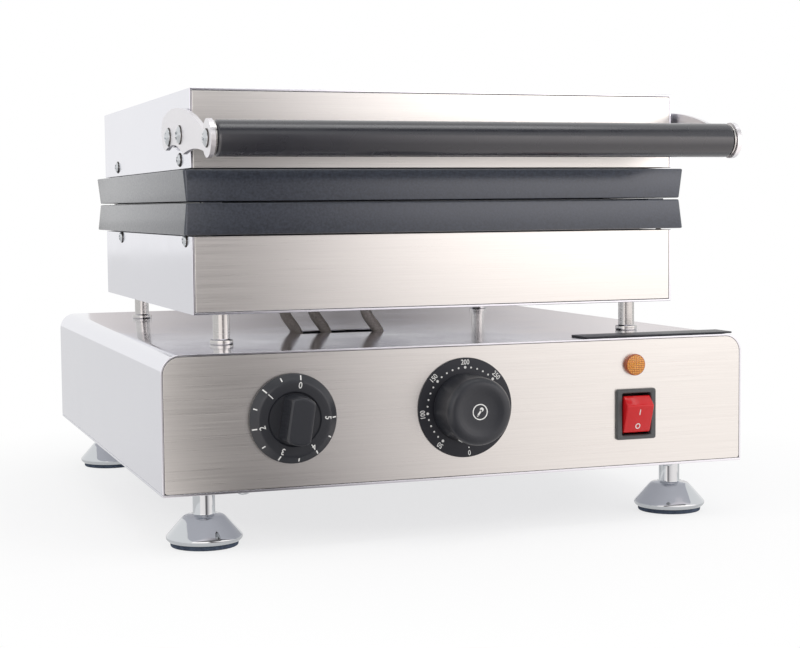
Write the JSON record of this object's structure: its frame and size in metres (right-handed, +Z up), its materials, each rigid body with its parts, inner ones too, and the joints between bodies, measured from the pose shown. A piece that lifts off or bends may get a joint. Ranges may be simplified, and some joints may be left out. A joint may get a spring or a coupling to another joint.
{
  "type": "takoyaki maker",
  "caption": "Countertop ball maker: two heated cast plates with ball cavities, a hinged lid with a bar handle, and a steel control box on levelling feet.",
  "frame": {"origin": "On the surface that the machine stands on, below the middle of its overall outline.", "axes": "+Z up, +X to the user's right, +Y away from the user who faces the control panel."},
  "size_m": [0.36, 0.4417, 0.2603],
  "materials": {
    "brushed_steel": "brushed stainless sheet",
    "chrome_steel": "polished chrome plate",
    "nickel_steel": "nickel-plated steel",
    "bracket_steel": "brushed steel plate",
    "pad_rubber": "dark blue-grey rubber",
    "black_plastic": "satin black moulded plastic",
    "thermostat_case": "plain zinc-plated case",
    "scale_aluminium": "black-anodised aluminium disc",
    "amber_lens": "clear amber plastic",
    "red_rocker": "glossy red plastic",
    "grip_plastic": "satin black phenolic plastic",
    "cast_plate": "dark non-stick coat on cast aluminium",
    "heater_steel": "heat-darkened sheath",
    "mineral_wool": "loose mineral wool blanket",
    "lead_sleeve": "woven glass sleeving",
    "terminal_ceramic": "unglazed ceramic"
  },
  "bodies": {
    "machine": {"base_cover": "brushed_steel", "front_panel": "brushed_steel", "rear_panel": "brushed_steel", "bottom_plate": "brushed_steel", "edge_plate": "brushed_steel", "feet": "chrome_steel", "foot_pads": "pad_rubber", "posts": "nickel_steel", "cable_gland": "black_plastic", "terminal_block": "terminal_ceramic", "heater_leads": "lead_sleeve", "timer_body": "black_plastic", "thermostat_body": "thermostat_case", "thermostat_scale": "scale_aluminium", "lamp_body": "black_plastic", "lamp_lens": "amber_lens", "switch_body": "black_plastic", "lower_housing": "brushed_steel", "lower_front": "brushed_steel", "lower_rear": "brushed_steel", "lower_plate": "cast_plate", "contact_pads": "cast_plate", "lower_heater": "heater_steel", "lower_clamps": "nickel_steel", "lower_wool": "mineral_wool", "hinge_lug_left": "nickel_steel", "hinge_lug_right": "nickel_steel", "hinge_pins": "nickel_steel"},
    "lid": {"lid_cover": "brushed_steel", "lid_front": "brushed_steel", "lid_rear": "brushed_steel", "upper_plate": "cast_plate", "upper_heater": "heater_steel", "upper_clamps": "nickel_steel", "upper_wool": "mineral_wool", "hinge_arm_left": "nickel_steel", "hinge_arm_right": "nickel_steel", "handle_bracket_left": "bracket_steel", "handle_bracket_right": "bracket_steel", "handle_grip": "grip_plastic"},
    "timer_dial": {"timer_knob": "black_plastic", "timer_shaft": "nickel_steel"},
    "thermostat_dial": {"thermostat_knob": "black_plastic", "thermostat_shaft": "nickel_steel"},
    "switch_rocker": {"rocker": "red_rocker"}
  },
  "joints": [
    {"name": "lid_hinge", "type": "hinge", "parent": "machine", "child": "lid", "pos_m": [0, 0.16995, 0.1957], "axis": [-1, 0, 0], "range_deg": [0, 95]},
    {"name": "timer_turn", "type": "hinge", "parent": "machine", "child": "timer_dial", "pos_m": [-0.106, -0.18415, 0.0749], "axis": [0, 1, 0], "range_deg": [0, 275]},
    {"name": "thermostat_turn", "type": "hinge", "parent": "machine", "child": "thermostat_dial", "pos_m": [-0.0025, -0.18415, 0.0759], "axis": [0, 1, 0], "range_deg": [-25, 207]},
    {"name": "rocker_tip", "type": "hinge", "parent": "machine", "child": "switch_rocker", "pos_m": [0.1075, -0.18165, 0.0667], "axis": [-1, 0, 0], "range_deg": [0, 39]}
  ]
}
